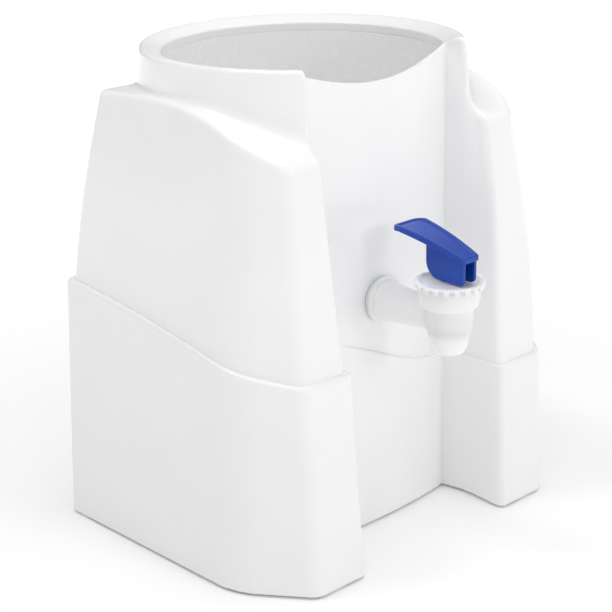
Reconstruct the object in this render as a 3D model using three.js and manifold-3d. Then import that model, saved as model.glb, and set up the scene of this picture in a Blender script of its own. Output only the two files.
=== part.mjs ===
// Countertop water dispenser for an upturned bottle: a white moulded housing on a stepped
// base skirt, a water tub hung inside the drum, and a push-lever tap through the front panel.
// Millimetres, +Z up, the front is towards -Y. The drum's axis is the local origin of the plan.
import * as THREE from "three";
import { mergeVertices } from "three/addons/utils/BufferGeometryUtils.js";
import Module from "manifold-3d";

const wasm = await Module();
wasm.setup();

// ---------- driving dimensions ----------
const GAP = 0.35;
const WALL = 3;

const RIM_Z = 320;
const DRUM = { r: 108.2, flareZ: 292, topR: 105.9, edgeZ: 316, edgeR: 105.3, landR: 103.7 };
const MOUTH_R = 101;
const WELL_R = 91.5;
const FUNNEL_SLOPE = 0.55;
const LIP_UNDERSIDE_Z = 309;

const SIDE_X = 141.4;
const FRONT_Y = 120.6;
const BACK_Y = 96;
const CHAMFER = { nx: 0.8, ny: 0.6, reach: 159.2 };
const EDGE_R = { front: 5, side: 9, back: 9 };
const ARM_CREST = { y: 10, z: 297, forward: 0.002686, backward: 0.0007 };

const BAY = { panelY: 69.4, bow: 400, cornerX: 67.5, cheekX: 72, cheekY: 78.5, edgeR: 8, topZ: 270 };
const MOUTH = { halfWidth: 71.1, levelZ: 120, housingSplay: 0.033, skirtSplay: 0.02475 };
const SKIRT_PROUD = 1.8;
const BAY_PROUD = 1.9;
const LEDGE = { leftZ: 138, drop: 35, fromX: -58.5, toX: 60.5, rearRise: 31, frontY: -115, backY: 90 };
const HOUSING_FOOT_Z = 88;
const SHELF_Z = 80;
const SHELF_THICK = 3;
const SKIRT_FOOT_Z = 1.5;
const BEYOND = 175;

const TUB = {
  floorZ: 140, topR: 93.9, floorR: 85, wall: 2.4, floor: 3,
  flangeR: 100.8, flangeZ: 306.4, lipZ: 308.6, funnelDrop: 3.4,
};
const SCREW_SPOTS = [[-121, -82.5], [121, -82.5], [-126.6, 81.6], [126.6, 81.6]];
const FOOT_SPOTS = [[-92, -105.5], [92, -105.5], [-126, 81.5], [126, 81.5]];
const CORNER_NAMES = ["front_left", "front_right", "rear_left", "rear_right"];
const TUB_SCREW = { r: 97.2, angles: [35, 145, 215, 325], lipHoleR: 1.8, lipHoleZ: 314.5, flangeHoleR: 1.9 };
const BOSS = { r: 7, topZ: 118, holeR: 2.1, holeZ: 106, tabR: 9, tabZ: 84 };
const FOOT_PAD = { r: 12, topZ: 7, socketR: 9.3, socketZ: 5 };

const TAP = { y: -128.6, pipeZ: 158.5, neckR: 10, rootR: 12.8, pipeBore: 7, shankR: 8.7, shankBore: 6 };
const NUT = { rearY: -53, faceY: -60.6, skirtY: -58.4, acrossR: 14, skirtR: 14.8 };
const WASHER = { frontR: 14.8, frontY: [-71.85, -69.75], rearR: 14, rearY: [-62.9, -61] };
const FLANGE = { r: 15.5, backY: -72.2, frontY: -75.2, hubR: 13.6, hubY: -79.2 };
const BOWL = { topZ: 181, shoulderZ: 168, seatZ: 151, tipZ: 137.3, neckR: 16, chamberR: 12.6, outletR: 6 };
const COLLAR = { r: 22.3, topZ: 184.8, skirtZ: 180.6, hole: 4.2, lobes: 24 };
const STEM_R = 3.5;
const PIN = { z: 192.6, r: 1.45, halfLength: 4.9 };
const LEVER = { cheekOut: 6.5, cheekIn: 3.95, frontY: -145.2, heelY: -114.2, footZ: 185.15 };
const PLATE = { toeY: -146.4, rearY: -89.6, toeHalf: 7.4, heelHalf: 12.6, rim: 2, sink: 0.9 };

const COLLAR_FRONT_Y = TAP.y - COLLAR.r;
const BULGE_R = DRUM.r + SKIRT_PROUD;
const FRAME_SHIFT_Y = -(COLLAR_FRONT_Y + BULGE_R) / 2;

// ---------- solids and booleans ----------
function solid(geometry) {
  const bare = geometry.index ? geometry.clone() : geometry;
  bare.deleteAttribute("normal");
  bare.deleteAttribute("uv");
  const merged = mergeVertices(bare, 1e-4);
  const mesh = new wasm.Mesh({
    numProp: 3,
    vertProperties: new Float32Array(merged.attributes.position.array),
    triVerts: new Uint32Array(merged.index.array),
  });
  return new wasm.Manifold(mesh);
}

function geometryOf(body) {
  const mesh = body.getMesh();
  const geometry = new THREE.BufferGeometry();
  geometry.setAttribute("position", new THREE.BufferAttribute(mesh.vertProperties, 3));
  geometry.setIndex(new THREE.BufferAttribute(mesh.triVerts, 1));
  return geometry;
}

const unite = (first, ...rest) => rest.reduce((sum, body) => sum.add(body), first);
const cut = (first, ...rest) => rest.reduce((left, body) => left.subtract(body), first);

// A lathe or extrusion may come out inside out; its signed volume tells.
function facedOut(geometry) {
  const { index } = geometry;
  const { position } = geometry.attributes;
  const vertexOf = (i) => (index ? index.getX(i) : i);
  const corner = (i) => new THREE.Vector3().fromBufferAttribute(position, vertexOf(i));
  const count = index ? index.count : position.count;
  let volume = 0;
  for (let i = 0; i < count; i += 3) {
    volume += corner(i).dot(corner(i + 1).cross(corner(i + 2)));
  }
  if (volume < 0) flipFaces(geometry);
  return solid(geometry);
}

function flipFaces(geometry) {
  if (!geometry.index) geometry.setIndex([...Array(geometry.attributes.position.count).keys()]);
  const index = geometry.index.array;
  for (let i = 0; i < index.length; i += 3) {
    [index[i], index[i + 1]] = [index[i + 1], index[i]];
  }
}

function lathe(profile, sides) {
  const points = profile.map(([r, z]) => new THREE.Vector2(r, z));
  const geometry = new THREE.LatheGeometry([...points, points[0].clone()], sides);
  geometry.rotateX(Math.PI / 2);
  return facedOut(geometry);
}

const rod = (r, z0, z1, sides = 32) => lathe([[0, z0], [r, z0], [r, z1], [0, z1]], sides);
const rodAt = (x, y, r, z0, z1, sides = 20) => rod(r, z0, z1, sides).translate([x, y, 0]);
const slice = (body, z0, z1) => body.intersect(box(-BEYOND, BEYOND, -BEYOND, BEYOND, z0, z1));

function rodAlongY(r, y0, y1, z, sides = 32) {
  return rod(r, -y1, -y0, sides).rotate([90, 0, 0]).translate([0, 0, z]);
}

// A pipe along Y whose radius runs from r0 at y0 to r1 at y1.
function taperAlongY(r0, r1, y0, y1, z) {
  const cone = lathe([[0, -y1], [r1, -y1], [r0, -y0], [0, -y0]], 32);
  return cone.rotate([90, 0, 0]).translate([0, 0, z]);
}

function rodAlongX(r, x0, x1, y, z, sides = 16) {
  return rod(r, x0, x1, sides).rotate([0, 90, 0]).translate([0, y, z]);
}

function box(x0, x1, y0, y1, z0, z1) {
  const geometry = new THREE.BoxGeometry(x1 - x0, y1 - y0, z1 - z0);
  geometry.translate((x0 + x1) / 2, (y0 + y1) / 2, (z0 + z1) / 2);
  return solid(geometry);
}

function capOf(ring) {
  return THREE.ShapeUtils.triangulateShape(ring.map(([x, y]) => new THREE.Vector2(x, y)), []);
}

// Joins outlines of equal point count, each at its own height, into one closed solid.
function loft(outlineAt, heights) {
  const rings = heights.map(outlineAt);
  const n = rings[0].length;
  const position = rings.flatMap((ring, k) => ring.flatMap(([x, y]) => [x, y, heights[k]]));
  const index = [];
  for (let k = 0; k + 1 < rings.length; k++) {
    for (let i = 0; i < n; i++) {
      const a = k * n + i;
      const b = k * n + ((i + 1) % n);
      index.push(a, b, b + n, a, b + n, a + n);
    }
  }
  const top = (rings.length - 1) * n;
  for (const [a, b, c] of capOf(rings[0])) index.push(c, b, a);
  for (const [a, b, c] of capOf(rings[rings.length - 1])) index.push(top + a, top + b, top + c);
  const geometry = new THREE.BufferGeometry();
  geometry.setAttribute("position", new THREE.Float32BufferAttribute(position, 3));
  geometry.setIndex(index);
  return solid(geometry);
}

// Extrudes a Y-Z outline along X from x0 to x1.
function slab(outline, x0, x1) {
  const shape = new THREE.Shape(outline.map(([y, z]) => new THREE.Vector2(y, z)));
  const geometry = new THREE.ExtrudeGeometry(shape, { depth: x1 - x0, bevelEnabled: false });
  geometry.applyMatrix4(new THREE.Matrix4().set(0, 0, 1, x0, 1, 0, 0, 0, 0, 1, 0, 0, 0, 0, 0, 1));
  return facedOut(geometry);
}

function range(from, to, steps) {
  return Array.from({ length: steps + 1 }, (_, i) => from + ((to - from) * i) / steps);
}

function arc(cx, cy, r, from, to, steps) {
  const turn = range((from * Math.PI) / 180, (to * Math.PI) / 180, steps);
  return turn.map((a) => [cx + r * Math.cos(a), cy + r * Math.sin(a)]);
}

// A polygon of [x, y, radius] corners with each corner rounded by three chords.
function rounded(corners) {
  const at = (i) => corners[(i + corners.length) % corners.length];
  return corners.flatMap(([x, y, r], i) => {
    const here = new THREE.Vector2(x, y);
    const back = new THREE.Vector2(at(i - 1)[0] - x, at(i - 1)[1] - y).normalize();
    const on = new THREE.Vector2(at(i + 1)[0] - x, at(i + 1)[1] - y).normalize();
    const half = Math.acos(back.dot(on)) / 2;
    const middle = back.clone().add(on).normalize().multiplyScalar(r / Math.sin(half)).add(here);
    const start = here.clone().addScaledVector(back, r / Math.tan(half)).sub(middle);
    const end = here.clone().addScaledVector(on, r / Math.tan(half)).sub(middle);
    const swing = Math.atan2(start.cross(end), start.dot(end));
    const zero = new THREE.Vector2();
    return range(0, swing, 3).map((a) => start.clone().rotateAround(zero, a).add(middle).toArray());
  });
}

// ---------- how the walls lean in with height ----------
const HOUSING_LEVELS = [60, 100, 140, 180, 215, 245, 270, 290, 335];
const HOUSING_BAY_LEVELS = [60, 140, 215, 270, 340];
const SKIRT_LEVELS = [-10, 90, 200];

function skirtLean(z) {
  return { front: 0.048 * z, side: 0.03 * z, chamfer: 0.018 * z };
}

function housingLean(z) {
  const t = z - 140;
  return {
    front: 11.2 + 0.088 * t + 0.000312 * t * t,
    side: 7 + 0.06 * t + 0.00045 * t * t,
    chamfer: 6.5 + 0.06 * t + 0.0005 * t * t,
  };
}

// The block's plan at one height: flat sides, with the two outer front corners cut off.
function blockOutline(lean, inset) {
  const front = FRONT_Y - lean.front - inset;
  const side = SIDE_X - lean.side - inset;
  const back = BACK_Y - 0.9 * lean.side - inset;
  const reach = CHAMFER.reach - lean.chamfer - inset;
  const frontX = (reach - CHAMFER.ny * front) / CHAMFER.nx;
  const chamferY = (reach - CHAMFER.nx * side) / CHAMFER.ny;
  const right = [
    [frontX, -front, EDGE_R.front],
    [side, -chamferY, EDGE_R.side],
    [side, back, EDGE_R.back],
  ];
  const left = right.map(([x, y, r]) => [-x, y, r]).reverse();
  return rounded([...right, ...left]);
}

// The bay's plan: a bowed panel at the back, short angled cheeks, then the legs' inner walls.
// proud moves the skirt's walls into the bay, and spread moves every wall back into the housing.
function bayOutline(z, { frontAt, splay, proud, inset }, spread) {
  const wallX = MOUTH.halfWidth + splay * (Math.max(z, 0) - MOUTH.levelZ) - inset + spread;
  const panel = BAY.panelY + proud - spread;
  const bowed = (x) => -(panel - (BAY.bow - Math.sqrt(BAY.bow ** 2 - x * x)));
  const bendX = wallX - spread + BAY.edgeR;
  const bend = arc(bendX, BAY.edgeR - frontAt(z), BAY.edgeR - spread, 270, 180, 4);
  const cheek = [BAY.cheekX - inset + spread, -BAY.cheekY];
  const panelPoints = range(BAY.cornerX - 0.75 * inset + spread, 0, 5).map((x) => [x, bowed(x)]);
  const right = [[bendX, -BEYOND], ...bend, cheek, ...panelPoints];
  const left = right.slice(0, -1).map(([x, y]) => [-x, y]).reverse();
  return [...right, ...left];
}

const HOUSING_BAY = {
  frontAt: (z) => FRONT_Y - housingLean(Math.min(z, BAY.topZ)).front,
  splay: MOUTH.housingSplay,
  proud: 0,
  inset: 0,
};
const SKIRT_BAY = {
  frontAt: (z) => FRONT_Y - skirtLean(z).front,
  splay: MOUTH.skirtSplay,
  proud: SKIRT_PROUD,
  inset: BAY_PROUD,
};

const housingBlock = (inset) => loft((z) => blockOutline(housingLean(z), inset), HOUSING_LEVELS);
const skirtBlock = (inset) => loft((z) => blockOutline(skirtLean(z), inset), SKIRT_LEVELS);
const housingBay = (spread) => loft((z) => bayOutline(z, HOUSING_BAY, spread), HOUSING_BAY_LEVELS);
const skirtBay = (spread) => loft((z) => bayOutline(z, SKIRT_BAY, spread), SKIRT_LEVELS);

// ---------- housing ----------
function armCrest(y) {
  const away = y - ARM_CREST.y;
  return ARM_CREST.z - (away < 0 ? ARM_CREST.forward : ARM_CREST.backward) * away * away;
}

// Everything under the arms' curved tops, lowered by drop.
function underArms(drop) {
  const crest = range(-140, 130, 18).map((y) => [y, armCrest(y) - drop]);
  return slab([[130, 0], ...crest.reverse(), [-140, 0]], -BEYOND, BEYOND);
}

function funnel() {
  const tipZ = RIM_Z - FUNNEL_SLOPE * MOUTH_R;
  return lathe([[0, tipZ], [MOUTH_R, RIM_Z], [MOUTH_R, RIM_Z + 20], [0, RIM_Z + 20]], 96);
}

// The drum narrows a little above the arms, and its top edge is chamfered.
function drum(inset) {
  const { r, flareZ, topR, edgeZ, edgeR, landR } = DRUM;
  const side = [[r - inset, 60], [r - inset, flareZ], [topR - inset, edgeZ]];
  const edge = [[edgeR - inset, edgeZ + 2.3], [landR - inset, RIM_Z]];
  return lathe([[0, 60], ...side, ...edge, [0, RIM_Z]], 96);
}

// The housing's outside, grown by -inset, before the bay is taken out.
function housingOutside(inset) {
  return unite(housingBlock(inset).intersect(underArms(inset)), drum(inset));
}

function housingInside() {
  const block = housingBlock(WALL).intersect(underArms(WALL));
  const well = rod(WELL_R, 60, RIM_Z + 20, 96);
  return cut(unite(block, slice(drum(WALL), 60, LIP_UNDERSIDE_Z), well), housingBay(WALL));
}

function screwBosses(r, z0, z1) {
  return SCREW_SPOTS.map(([x, y]) => rodAt(x, y, r, z0, z1));
}

function tubScrewRods(r, z0, z1) {
  return TUB_SCREW.angles.map((angle) => {
    const a = (angle * Math.PI) / 180;
    return rodAt(TUB_SCREW.r * Math.cos(a), TUB_SCREW.r * Math.sin(a), r, z0, z1, 12);
  });
}

function upperHousing() {
  const shell = cut(housingOutside(0), housingBay(0), funnel(), housingInside());
  const bossed = unite(shell, ...screwBosses(BOSS.r, 60, BOSS.topZ));
  const { lipHoleR, lipHoleZ } = TUB_SCREW;
  const holes = [...screwBosses(BOSS.holeR, 60, BOSS.holeZ), ...tubScrewRods(lipHoleR, 300, lipHoleZ)];
  const tapHole = rodAlongY(TAP.shankR + 0.4, -90, -50, TAP.pipeZ);
  const below = box(-BEYOND, BEYOND, -BEYOND, BEYOND, 0, HOUSING_FOOT_Z);
  return cut(bossed, ...holes, tapHole, below);
}

// ---------- base skirt ----------
const smooth = (from, to, x) => THREE.MathUtils.smoothstep(x, from, to);

// The step between skirt and housing drops from left to right across the front, and rises
// rearwards along the outer walls.
function ledgeHeight(x, y) {
  const { leftZ, drop, fromX, toX, rearRise, frontY, backY } = LEDGE;
  const across = leftZ - drop * smooth(fromX, toX, x);
  const ahead = (backY - THREE.MathUtils.clamp(y, frontY, backY)) / (backY - frontY);
  const outer = y > 0 ? 1 : smooth(66, 100, Math.abs(x));
  return across + rearRise * (1 - ahead ** 1.5) * outer;
}

function aboveLedge() {
  const xs = range(-155, 155, 26);
  const ys = range(-135, 120, 16);
  const n = xs.length;
  const count = n * ys.length;
  const floor = ys.flatMap((y) => xs.flatMap((x) => [x, y, ledgeHeight(x, y)]));
  const roof = ys.flatMap((y) => xs.flatMap((x) => [x, y, RIM_Z + 30]));
  const index = [];
  for (let j = 0; j + 1 < ys.length; j++) {
    for (let i = 0; i + 1 < n; i++) {
      const a = j * n + i;
      index.push(a, a + n, a + 1, a + 1, a + n, a + n + 1);
      index.push(count + a, count + a + 1, count + a + n, count + a + 1, count + a + n + 1, count + a + n);
    }
  }
  const rim = [
    ...range(0, n - 1, n - 1),
    ...range(1, ys.length - 1, ys.length - 2).map((j) => j * n + n - 1),
    ...range(n - 2, 0, n - 2).map((i) => (ys.length - 1) * n + i),
    ...range(ys.length - 2, 1, ys.length - 3).map((j) => j * n),
  ];
  rim.forEach((a, i) => {
    const b = rim[(i + 1) % rim.length];
    index.push(a, b, count + b, a, count + b, count + a);
  });
  const geometry = new THREE.BufferGeometry();
  geometry.setAttribute("position", new THREE.Float32BufferAttribute([...floor, ...roof], 3));
  geometry.setIndex(index);
  return solid(geometry);
}

const bulge = (inset) => rod(BULGE_R - inset, -10, 200, 96);
const skirtWalls = (inset) => cut(unite(skirtBlock(inset), bulge(inset)), skirtBay(inset));

// The room inside the skirt: wide below, narrowed at the shelf, then the housing's own outside.
function skirtInside() {
  const socket = cut(housingOutside(-GAP), housingBay(-GAP));
  return unite(
    slice(skirtWalls(WALL), -10, SHELF_Z),
    slice(skirtWalls(WALL + SHELF_THICK), SHELF_Z - 1, HOUSING_FOOT_Z + 2),
    slice(socket, HOUSING_FOOT_Z - GAP, 340),
  );
}

function baseSkirt() {
  const shell = cut(skirtWalls(0), skirtInside(), aboveLedge());
  const tabs = screwBosses(BOSS.tabR, BOSS.tabZ, HOUSING_FOOT_Z - GAP);
  const { r, topZ, socketR, socketZ } = FOOT_PAD;
  const pads = FOOT_SPOTS.map(([x, y]) => rodAt(x, y, r, SKIRT_FOOT_Z, topZ, 24));
  const sockets = FOOT_SPOTS.map(([x, y]) => rodAt(x, y, socketR, 0, socketZ, 24));
  const under = box(-BEYOND, BEYOND, -BEYOND, BEYOND, -20, SKIRT_FOOT_Z);
  return cut(unite(shell, ...tabs, ...pads), ...sockets, ...screwBosses(BOSS.holeR, 80, 90), under);
}

// ---------- water tub ----------
function tubLoft(inset, floorZ, topZ) {
  const cone = lathe([[0, floorZ], [TUB.floorR - inset, floorZ], [TUB.topR - inset, topZ], [0, topZ]], 72);
  return cut(cone, housingBay(WALL + 0.5 + inset));
}

function reservoirTub() {
  const topZ = TUB.lipZ;
  const flange = cut(rod(TUB.flangeR, TUB.flangeZ, topZ, 72), housingBay(WALL + 0.5));
  const room = tubLoft(TUB.wall, TUB.floorZ + TUB.floor, topZ + 5);
  const tapHole = rodAlongY(TAP.shankR + 0.4, -80, -50, TAP.pipeZ);
  const walls = unite(tubLoft(0, TUB.floorZ, topZ), flange);
  const underFunnel = funnel().translate([0, 0, -TUB.funnelDrop]);
  return cut(walls, room, tapHole, underFunnel, ...tubScrewRods(TUB_SCREW.flangeHoleR, 300, 312));
}

// ---------- tap ----------
function bowlOutside() {
  const { topZ, shoulderZ, tipZ } = BOWL;
  const tip = [[10.2, tipZ], [12.2, tipZ + 5], [13.9, tipZ + 12]];
  const shoulder = [[14.9, tipZ + 20], [15.2, shoulderZ - 1], [16.2, shoulderZ + 1.5]];
  const neck = [[19.2, topZ - 6], [19.7, topZ]];
  return lathe([[0, tipZ], ...tip, ...shoulder, ...neck, [0, topZ]], 40);
}

function bowlInside() {
  const { topZ, shoulderZ, seatZ, tipZ, chamberR, neckR, outletR } = BOWL;
  const chamber = [[0, seatZ], [chamberR, seatZ], [chamberR, shoulderZ + 2]];
  const neck = [[neckR, topZ - 4], [neckR, topZ + 1], [0, topZ + 1]];
  const flare = [[0, tipZ - 1], [8.4, tipZ - 1], [outletR, seatZ - 2]];
  const throat = [[outletR, seatZ + 1], [0, seatZ + 1]];
  return unite(lathe([...chamber, ...neck], 32), lathe([...flare, ...throat], 32));
}

function tapBody() {
  const stack = [
    rodAlongY(TAP.shankR, -74, -47, TAP.pipeZ),
    rodAlongY(FLANGE.r, FLANGE.frontY, FLANGE.backY, TAP.pipeZ, 36),
    rodAlongY(FLANGE.hubR, FLANGE.hubY, FLANGE.frontY + 1, TAP.pipeZ, 32),
    taperAlongY(TAP.neckR, TAP.rootR, TAP.y + 12, FLANGE.hubY + 1, TAP.pipeZ),
  ];
  const bore = unite(
    rodAlongY(TAP.pipeBore, TAP.y, -76, TAP.pipeZ, 24),
    rodAlongY(TAP.shankBore, -80, -40, TAP.pipeZ, 24),
  );
  const outside = unite(bowlOutside().translate([0, TAP.y, 0]), ...stack);
  return cut(outside, bowlInside().translate([0, TAP.y, 0]), bore);
}

function tapCollar() {
  const wave = range(0, COLLAR.lobes * 2 - 1, COLLAR.lobes * 2 - 1).map((i) => {
    const a = (i * Math.PI) / COLLAR.lobes;
    const r = i % 2 ? COLLAR.r - 0.7 : COLLAR.r;
    return [r * Math.cos(a), r * Math.sin(a)];
  });
  const lobed = loft(() => wave, [COLLAR.skirtZ, COLLAR.skirtZ + 3]);
  const { r, topZ, skirtZ } = COLLAR;
  const cap = lathe([[0, skirtZ + 2], [r, skirtZ + 2], [r, topZ - 1.2], [r - 1.5, topZ], [0, topZ]], 48);
  const inside = unite(rod(20.1, skirtZ - 1, 183.2, 40), rod(COLLAR.hole, 170, 190, 24));
  return cut(unite(lobed, cap), inside).translate([0, TAP.y, 0]);
}

function bonnetSeal() {
  return cut(rod(19.4, BOWL.topZ + GAP, 182.85, 36), rod(6.6, 170, 190, 24)).translate([0, TAP.y, 0]);
}

function valvePlug() {
  const z = BOWL.seatZ;
  const dome = [[0, z - 3.4], [3.6, z - 3], [5.8, z + 0.3]];
  const disc = [[9.2, z + 0.35], [9.2, z + 4], [7.6, z + 6.5], [0, z + 6.5]];
  return cut(lathe([...dome, ...disc], 28), rod(2.6, z + 2, z + 10, 16)).translate([0, TAP.y, 0]);
}

function valveStem() {
  const z = BOWL.seatZ;
  const tail = [[0, z + 2.4], [2.2, z + 2.4], [2.2, z + 6.9]];
  const shaft = [[STEM_R, z + 6.9], [STEM_R, 196], [2.7, 197], [0, 197]];
  const pinHole = rodAlongX(PIN.r + 0.3, -10, 10, 0, PIN.z);
  return cut(lathe([...tail, ...shaft], 24), pinHole).translate([0, TAP.y, 0]);
}

class Helix extends THREE.Curve {
  constructor(r, z0, z1, turns) {
    super();
    Object.assign(this, { r, z0, z1, turns });
  }

  getPoint(t) {
    const a = t * this.turns * Math.PI * 2;
    const height = this.z0 + (this.z1 - this.z0) * t;
    return new THREE.Vector3(this.r * Math.cos(a), this.r * Math.sin(a), height);
  }
}

function valveSpring() {
  const wire = new THREE.Shape(arc(0, 0, 0.6, 0, 300, 5).map(([x, y]) => new THREE.Vector2(x, y)));
  const path = new Helix(5.6, BOWL.seatZ + 7.6, 182.2, 6);
  const geometry = new THREE.ExtrudeGeometry(wire, { steps: 84, extrudePath: path, bevelEnabled: false });
  return facedOut(geometry).translate([0, TAP.y, 0]);
}

const leverPin = () => rodAlongX(PIN.r, -PIN.halfLength, PIN.halfLength, TAP.y, PIN.z);

function washer(r, [y0, y1]) {
  const hole = TAP.shankR + 0.35;
  return cut(rodAlongY(r, y0, y1, TAP.pipeZ, 36), rodAlongY(hole, y0 - 1, y1 + 1, TAP.pipeZ, 28));
}

function lockNut() {
  const hex = rodAlongY(NUT.acrossR, NUT.faceY, NUT.rearY, TAP.pipeZ, 6);
  const skirt = rodAlongY(NUT.skirtR, NUT.faceY, NUT.skirtY, TAP.pipeZ, 36);
  return cut(unite(hex, skirt), rodAlongY(TAP.shankR + 0.3, -70, -50, TAP.pipeZ, 28));
}

// ---------- lever ----------
function cheekOutline() {
  const { frontY, heelY, footZ } = LEVER;
  const heelR = 11;
  const toe = arc(frontY + 3.4, footZ + 3.4, 3.4, 180, 270, 3);
  const heel = arc(heelY - heelR, footZ + heelR, heelR, 270, 360, 6);
  return [[frontY, 202], ...toe, ...heel, [heelY, 209]];
}

const PLATE_TOP = [
  [-89.6, 214.8], [-97, 215.9], [-108, 214.2], [-120, 211.2], [-134, 207], [-146.4, 203.1],
];
const PLATE_UNDER = [[-146.4, 199.7], [-134, 203.4], [-120, 206.9], [-106, 209.5], [-89.6, 211.2]];

// The plate's plan: wide with round corners over the heel, narrowing to the toe.
function platePlan(inset) {
  const back = PLATE.heelHalf - inset;
  const corners = [
    [PLATE.toeHalf - inset, PLATE.toeY + inset, 1.6],
    [back, -98, 12],
    [back - 1.2, PLATE.rearY - inset, 4.5],
  ];
  const left = corners.map(([x, y, r]) => [-x, y, r]).reverse();
  return rounded([...corners, ...left]);
}

const plateColumn = (inset) => loft(() => platePlan(inset), [190, 230]);

function tapLever() {
  const above = [[-150, 240], [-80, 240]];
  const sunk = PLATE_TOP.map(([y, z]) => [y, z - PLATE.sink]);
  const plate = slab([...PLATE_TOP, ...PLATE_UNDER], -20, 20).intersect(plateColumn(0));
  const tray = slab([...sunk, ...above], -20, 20).intersect(plateColumn(PLATE.rim));
  const cheeks = slab(cheekOutline(), -LEVER.cheekOut, LEVER.cheekOut);
  const roof = slab([...PLATE_TOP, ...above], -20, 20);
  const slot = box(-LEVER.cheekIn, LEVER.cheekIn, -160, -100, 170, 199);
  const reach = PIN.halfLength + 0.3;
  const sockets = rodAlongX(PIN.r + 0.3, -reach, reach, TAP.y, PIN.z);
  return cut(unite(cut(cheeks, roof), cut(plate, tray)), slot, sockets);
}

// ---------- small parts ----------
function screw(x, y, z0, length, shankR, headR, headH) {
  const neck = z0 + headH;
  const tip = neck + length;
  const head = [[0, z0], [headR, z0 + 0.4], [headR, neck]];
  const shank = [[shankR, neck], [shankR, tip - 1.5], [0, tip]];
  const recess = box(x - 0.5, x + 0.5, y - headR * 0.6, y + headR * 0.6, z0 - 1, z0 + 1.2);
  return cut(lathe([...head, ...shank], 16).translate([x, y, 0]), recess);
}

const foot = (x, y) => lathe([[0, 0], [8.2, 0], [9, 0.8], [9, 4.65], [0, 4.65]], 24).translate([x, y, 0]);

// ---------- materials and assembly ----------
const FINISHES = {
  shell: { color: 0xf1f2f3, roughness: 0.22, metalness: 0 },
  tub: { color: 0xeceeef, roughness: 0.3, metalness: 0 },
  tap: { color: 0xe9edef, roughness: 0.3, metalness: 0 },
  lever: { color: 0x16349a, roughness: 0.32, metalness: 0 },
  rubber: { color: 0x3a3b3d, roughness: 0.9, metalness: 0 },
  silicone: { color: 0xdfe3e4, roughness: 0.55, metalness: 0 },
  steel: { color: 0xb9bcc0, roughness: 0.35, metalness: 1 },
};

const assembly = new THREE.Group();
assembly.position.y = FRAME_SHIFT_Y;

function place(name, finish, body) {
  const mesh = new THREE.Mesh(geometryOf(body), new THREE.MeshStandardMaterial(FINISHES[finish]));
  mesh.name = name;
  assembly.add(mesh);
}

place("upper_housing", "shell", upperHousing());
place("base_skirt", "shell", baseSkirt());
place("reservoir_tub", "tub", reservoirTub());
place("tap_body", "tap", tapBody());
place("tap_collar", "tap", tapCollar());
place("bonnet_seal", "silicone", bonnetSeal());
place("valve_plug", "silicone", valvePlug());
place("valve_stem", "tap", valveStem());
place("valve_spring", "steel", valveSpring());
place("lever_pin", "steel", leverPin());
place("tap_lever", "lever", tapLever());
place("front_washer", "silicone", washer(WASHER.frontR, WASHER.frontY));
place("rear_washer", "silicone", washer(WASHER.rearR, WASHER.rearY));
place("lock_nut", "tap", lockNut());
CORNER_NAMES.forEach((corner, i) => {
  place(`foot_${corner}`, "rubber", foot(...FOOT_SPOTS[i]));
  place(`base_screw_${corner}`, "steel", screw(...SCREW_SPOTS[i], 81.15, 17, 1.7, 3.3, 2.5));
  const a = (TUB_SCREW.angles[i] * Math.PI) / 180;
  const spot = [TUB_SCREW.r * Math.cos(a), TUB_SCREW.r * Math.sin(a)];
  place(`tub_screw_${i + 1}`, "steel", screw(...spot, TUB.flangeZ - 2.3, 7.6, 1.4, 3, 2));
});

const root = new THREE.Group();
root.add(assembly);

export default root;
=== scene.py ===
"""Looks for the countertop water dispenser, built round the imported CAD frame.

Every fine piece is described by a distance field in millimetres, with the drum's axis as the plan's
origin and the front towards -Y. The field is turned into a mesh, which then rides on its CAD body.
"""

import itertools
import math

import bpy
import numpy as np
from mathutils import Matrix, Vector


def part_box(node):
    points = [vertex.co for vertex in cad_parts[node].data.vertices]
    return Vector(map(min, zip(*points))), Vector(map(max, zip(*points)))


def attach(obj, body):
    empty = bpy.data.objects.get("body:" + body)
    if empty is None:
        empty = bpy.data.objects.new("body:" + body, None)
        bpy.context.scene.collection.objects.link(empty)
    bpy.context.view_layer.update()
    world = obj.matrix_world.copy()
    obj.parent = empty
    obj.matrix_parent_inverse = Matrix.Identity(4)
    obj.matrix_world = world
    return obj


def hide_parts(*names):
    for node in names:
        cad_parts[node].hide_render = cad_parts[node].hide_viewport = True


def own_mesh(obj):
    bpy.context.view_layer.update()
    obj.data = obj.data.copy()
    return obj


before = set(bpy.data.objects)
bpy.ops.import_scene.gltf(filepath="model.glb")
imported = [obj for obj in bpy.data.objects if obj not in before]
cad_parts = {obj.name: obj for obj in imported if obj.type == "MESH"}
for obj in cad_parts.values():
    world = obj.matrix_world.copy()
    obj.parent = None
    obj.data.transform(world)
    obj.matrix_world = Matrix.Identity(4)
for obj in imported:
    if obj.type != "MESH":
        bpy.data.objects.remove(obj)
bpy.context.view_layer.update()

# ---------- places taken from the CAD frame ----------
MM = 0.001


def centre_mm(node):
    low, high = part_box(node)
    return np.array((low + high) / 2) / MM


TUB_SCREWS = [f"tub_screw_{i}" for i in (1, 2, 3, 4)]
CORNERS = ["front_left", "front_right", "rear_left", "rear_right"]
DRUM_Y = float(np.mean([centre_mm(n)[1] for n in TUB_SCREWS]))
TAP_Y = float(centre_mm("tap_collar")[1]) - DRUM_Y
RIM_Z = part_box("upper_housing")[1].z / MM
PIN_Z = float(centre_mm("lever_pin")[2])
PIPE_Z = float(centre_mm("front_washer")[2])

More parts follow.
